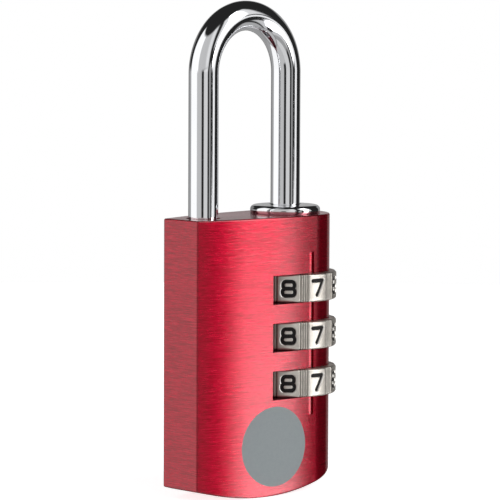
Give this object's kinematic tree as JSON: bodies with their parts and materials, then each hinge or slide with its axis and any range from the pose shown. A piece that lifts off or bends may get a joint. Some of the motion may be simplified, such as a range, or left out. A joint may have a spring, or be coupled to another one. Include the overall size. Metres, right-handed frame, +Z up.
{
  "type": "combination padlock",
  "caption": "Small luggage-type padlock with a flat-sided red body rounded at one end, number dials in open windows, a bright round-bar shackle and a heel collar.",
  "frame": {"origin": "centre of the lock's footprint at the height of its lowest point", "axes": "+Z up along the shackle's legs; +X from the toe side to the rounded heel side with the dials; -Y is the face with the reading line and the badge"},
  "size_m": [0.0278, 0.0148, 0.0696],
  "materials": {
    "body": "red anodised, brushed across",
    "badge": "matt grey",
    "shackle": "polished",
    "chrome_trim": "polished",
    "dial": "satin nickel with black filled digits",
    "brass_work": "machined",
    "spring_steel": "drawn wire and stamped strip",
    "ball_steel": "polished"
  },
  "bodies": {
    "lock": {"lock_body": "body", "badge_disc": "badge", "collar_bush": "chrome_trim", "spacer_sleeve": "brass_work", "spring_seat": "brass_work", "reset_spring": "spring_steel", "hub_washer_1": "spring_steel", "hub_washer_2": "spring_steel", "hub_washer_3": "spring_steel", "hub_washer_4": "spring_steel", "detent_ball_upper": "ball_steel", "detent_spring_upper": "spring_steel", "detent_ball_middle": "ball_steel", "detent_spring_middle": "spring_steel", "detent_ball_lower": "ball_steel", "detent_spring_lower": "spring_steel"},
    "shackle": {"shackle": "shackle"},
    "dial_upper": {"dial_upper": "dial", "hub_upper": "brass_work"},
    "dial_middle": {"dial_middle": "dial", "hub_middle": "brass_work"},
    "dial_lower": {"dial_lower": "dial", "hub_lower": "brass_work"}
  },
  "joints": [
    {"name": "shackle_lift", "type": "slide", "parent": "lock", "child": "shackle", "axis": [0, 0, 1], "range_m": [0, 0.00674]},
    {"name": "dial_upper_turn", "type": "hinge", "parent": "lock", "child": "dial_upper", "pos_m": [0.00653, 0, 0.02913], "axis": [0, 0, 1], "continuous": true},
    {"name": "dial_middle_turn", "type": "hinge", "parent": "lock", "child": "dial_middle", "pos_m": [0.00653, 0, 0.02239], "axis": [0, 0, 1], "continuous": true},
    {"name": "dial_lower_turn", "type": "hinge", "parent": "lock", "child": "dial_lower", "pos_m": [0.00653, 0, 0.01565], "axis": [0, 0, 1], "continuous": true}
  ]
}
